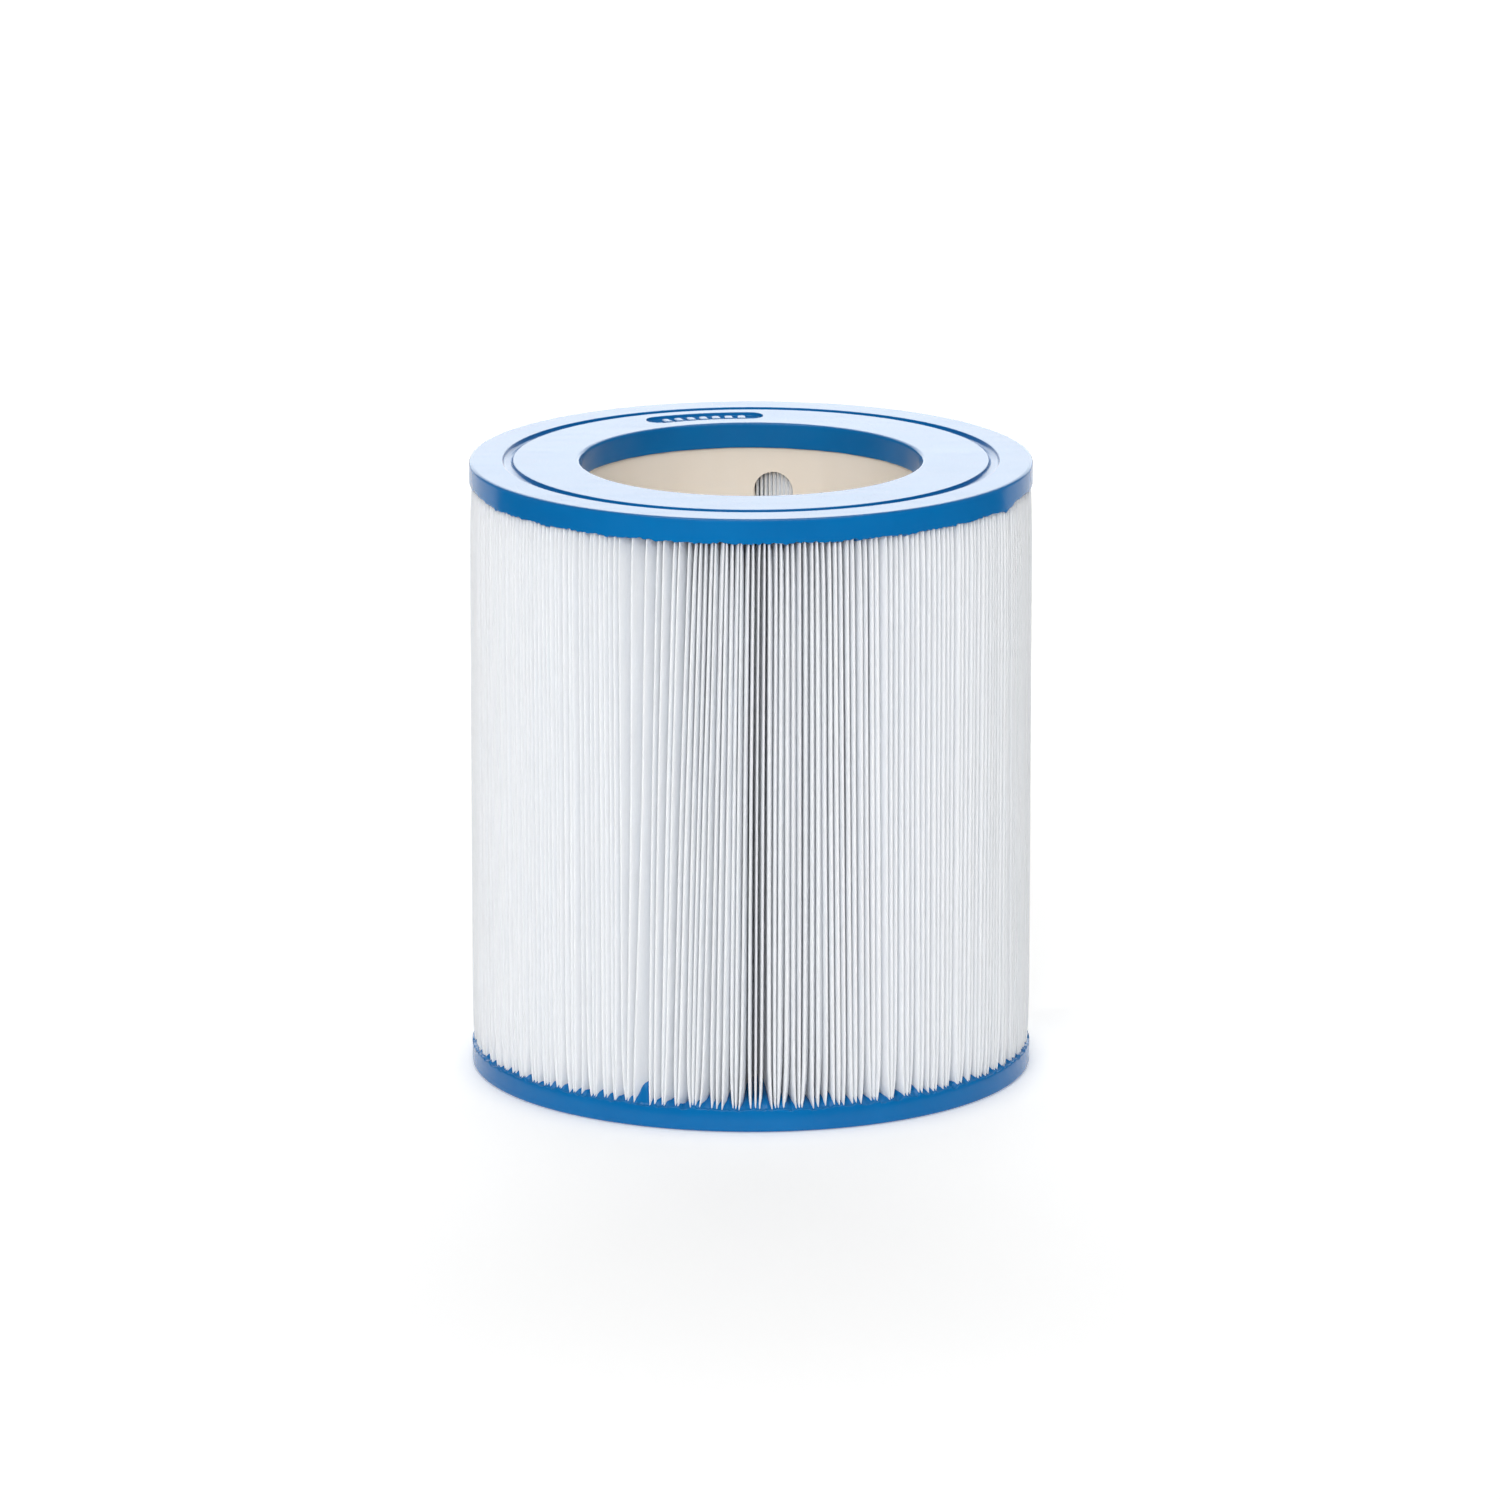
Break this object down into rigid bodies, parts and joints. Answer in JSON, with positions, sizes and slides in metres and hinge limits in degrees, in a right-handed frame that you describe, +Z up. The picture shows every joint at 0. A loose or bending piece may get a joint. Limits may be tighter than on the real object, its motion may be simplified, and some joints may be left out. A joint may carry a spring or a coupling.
{
  "type": "pleated filter cartridge",
  "caption": "Cylindrical pleated filter cartridge with white media, a perforated core tube and blue end caps open through the middle.",
  "frame": {"origin": "centre of the underside, where the cartridge stands", "axes": "+Z up along the cartridge's axis, -Y towards the side seen first, +X to its right"},
  "size_m": [0.1778, 0.1778, 0.1956],
  "materials": {
    "cap_blue": "glossy cast urethane, slightly worn on the flat face",
    "core_cream": "satin moulded plastic",
    "media_white": "spunbonded polyester",
    "seam_adhesive": "set hot-melt adhesive"
  },
  "bodies": {
    "root": {"top_end_cap": "cap_blue", "bottom_end_cap": "cap_blue", "core_tube": "core_cream", "pleated_media": "media_white", "media_seam": "seam_adhesive"}
  },
  "joints": []
}
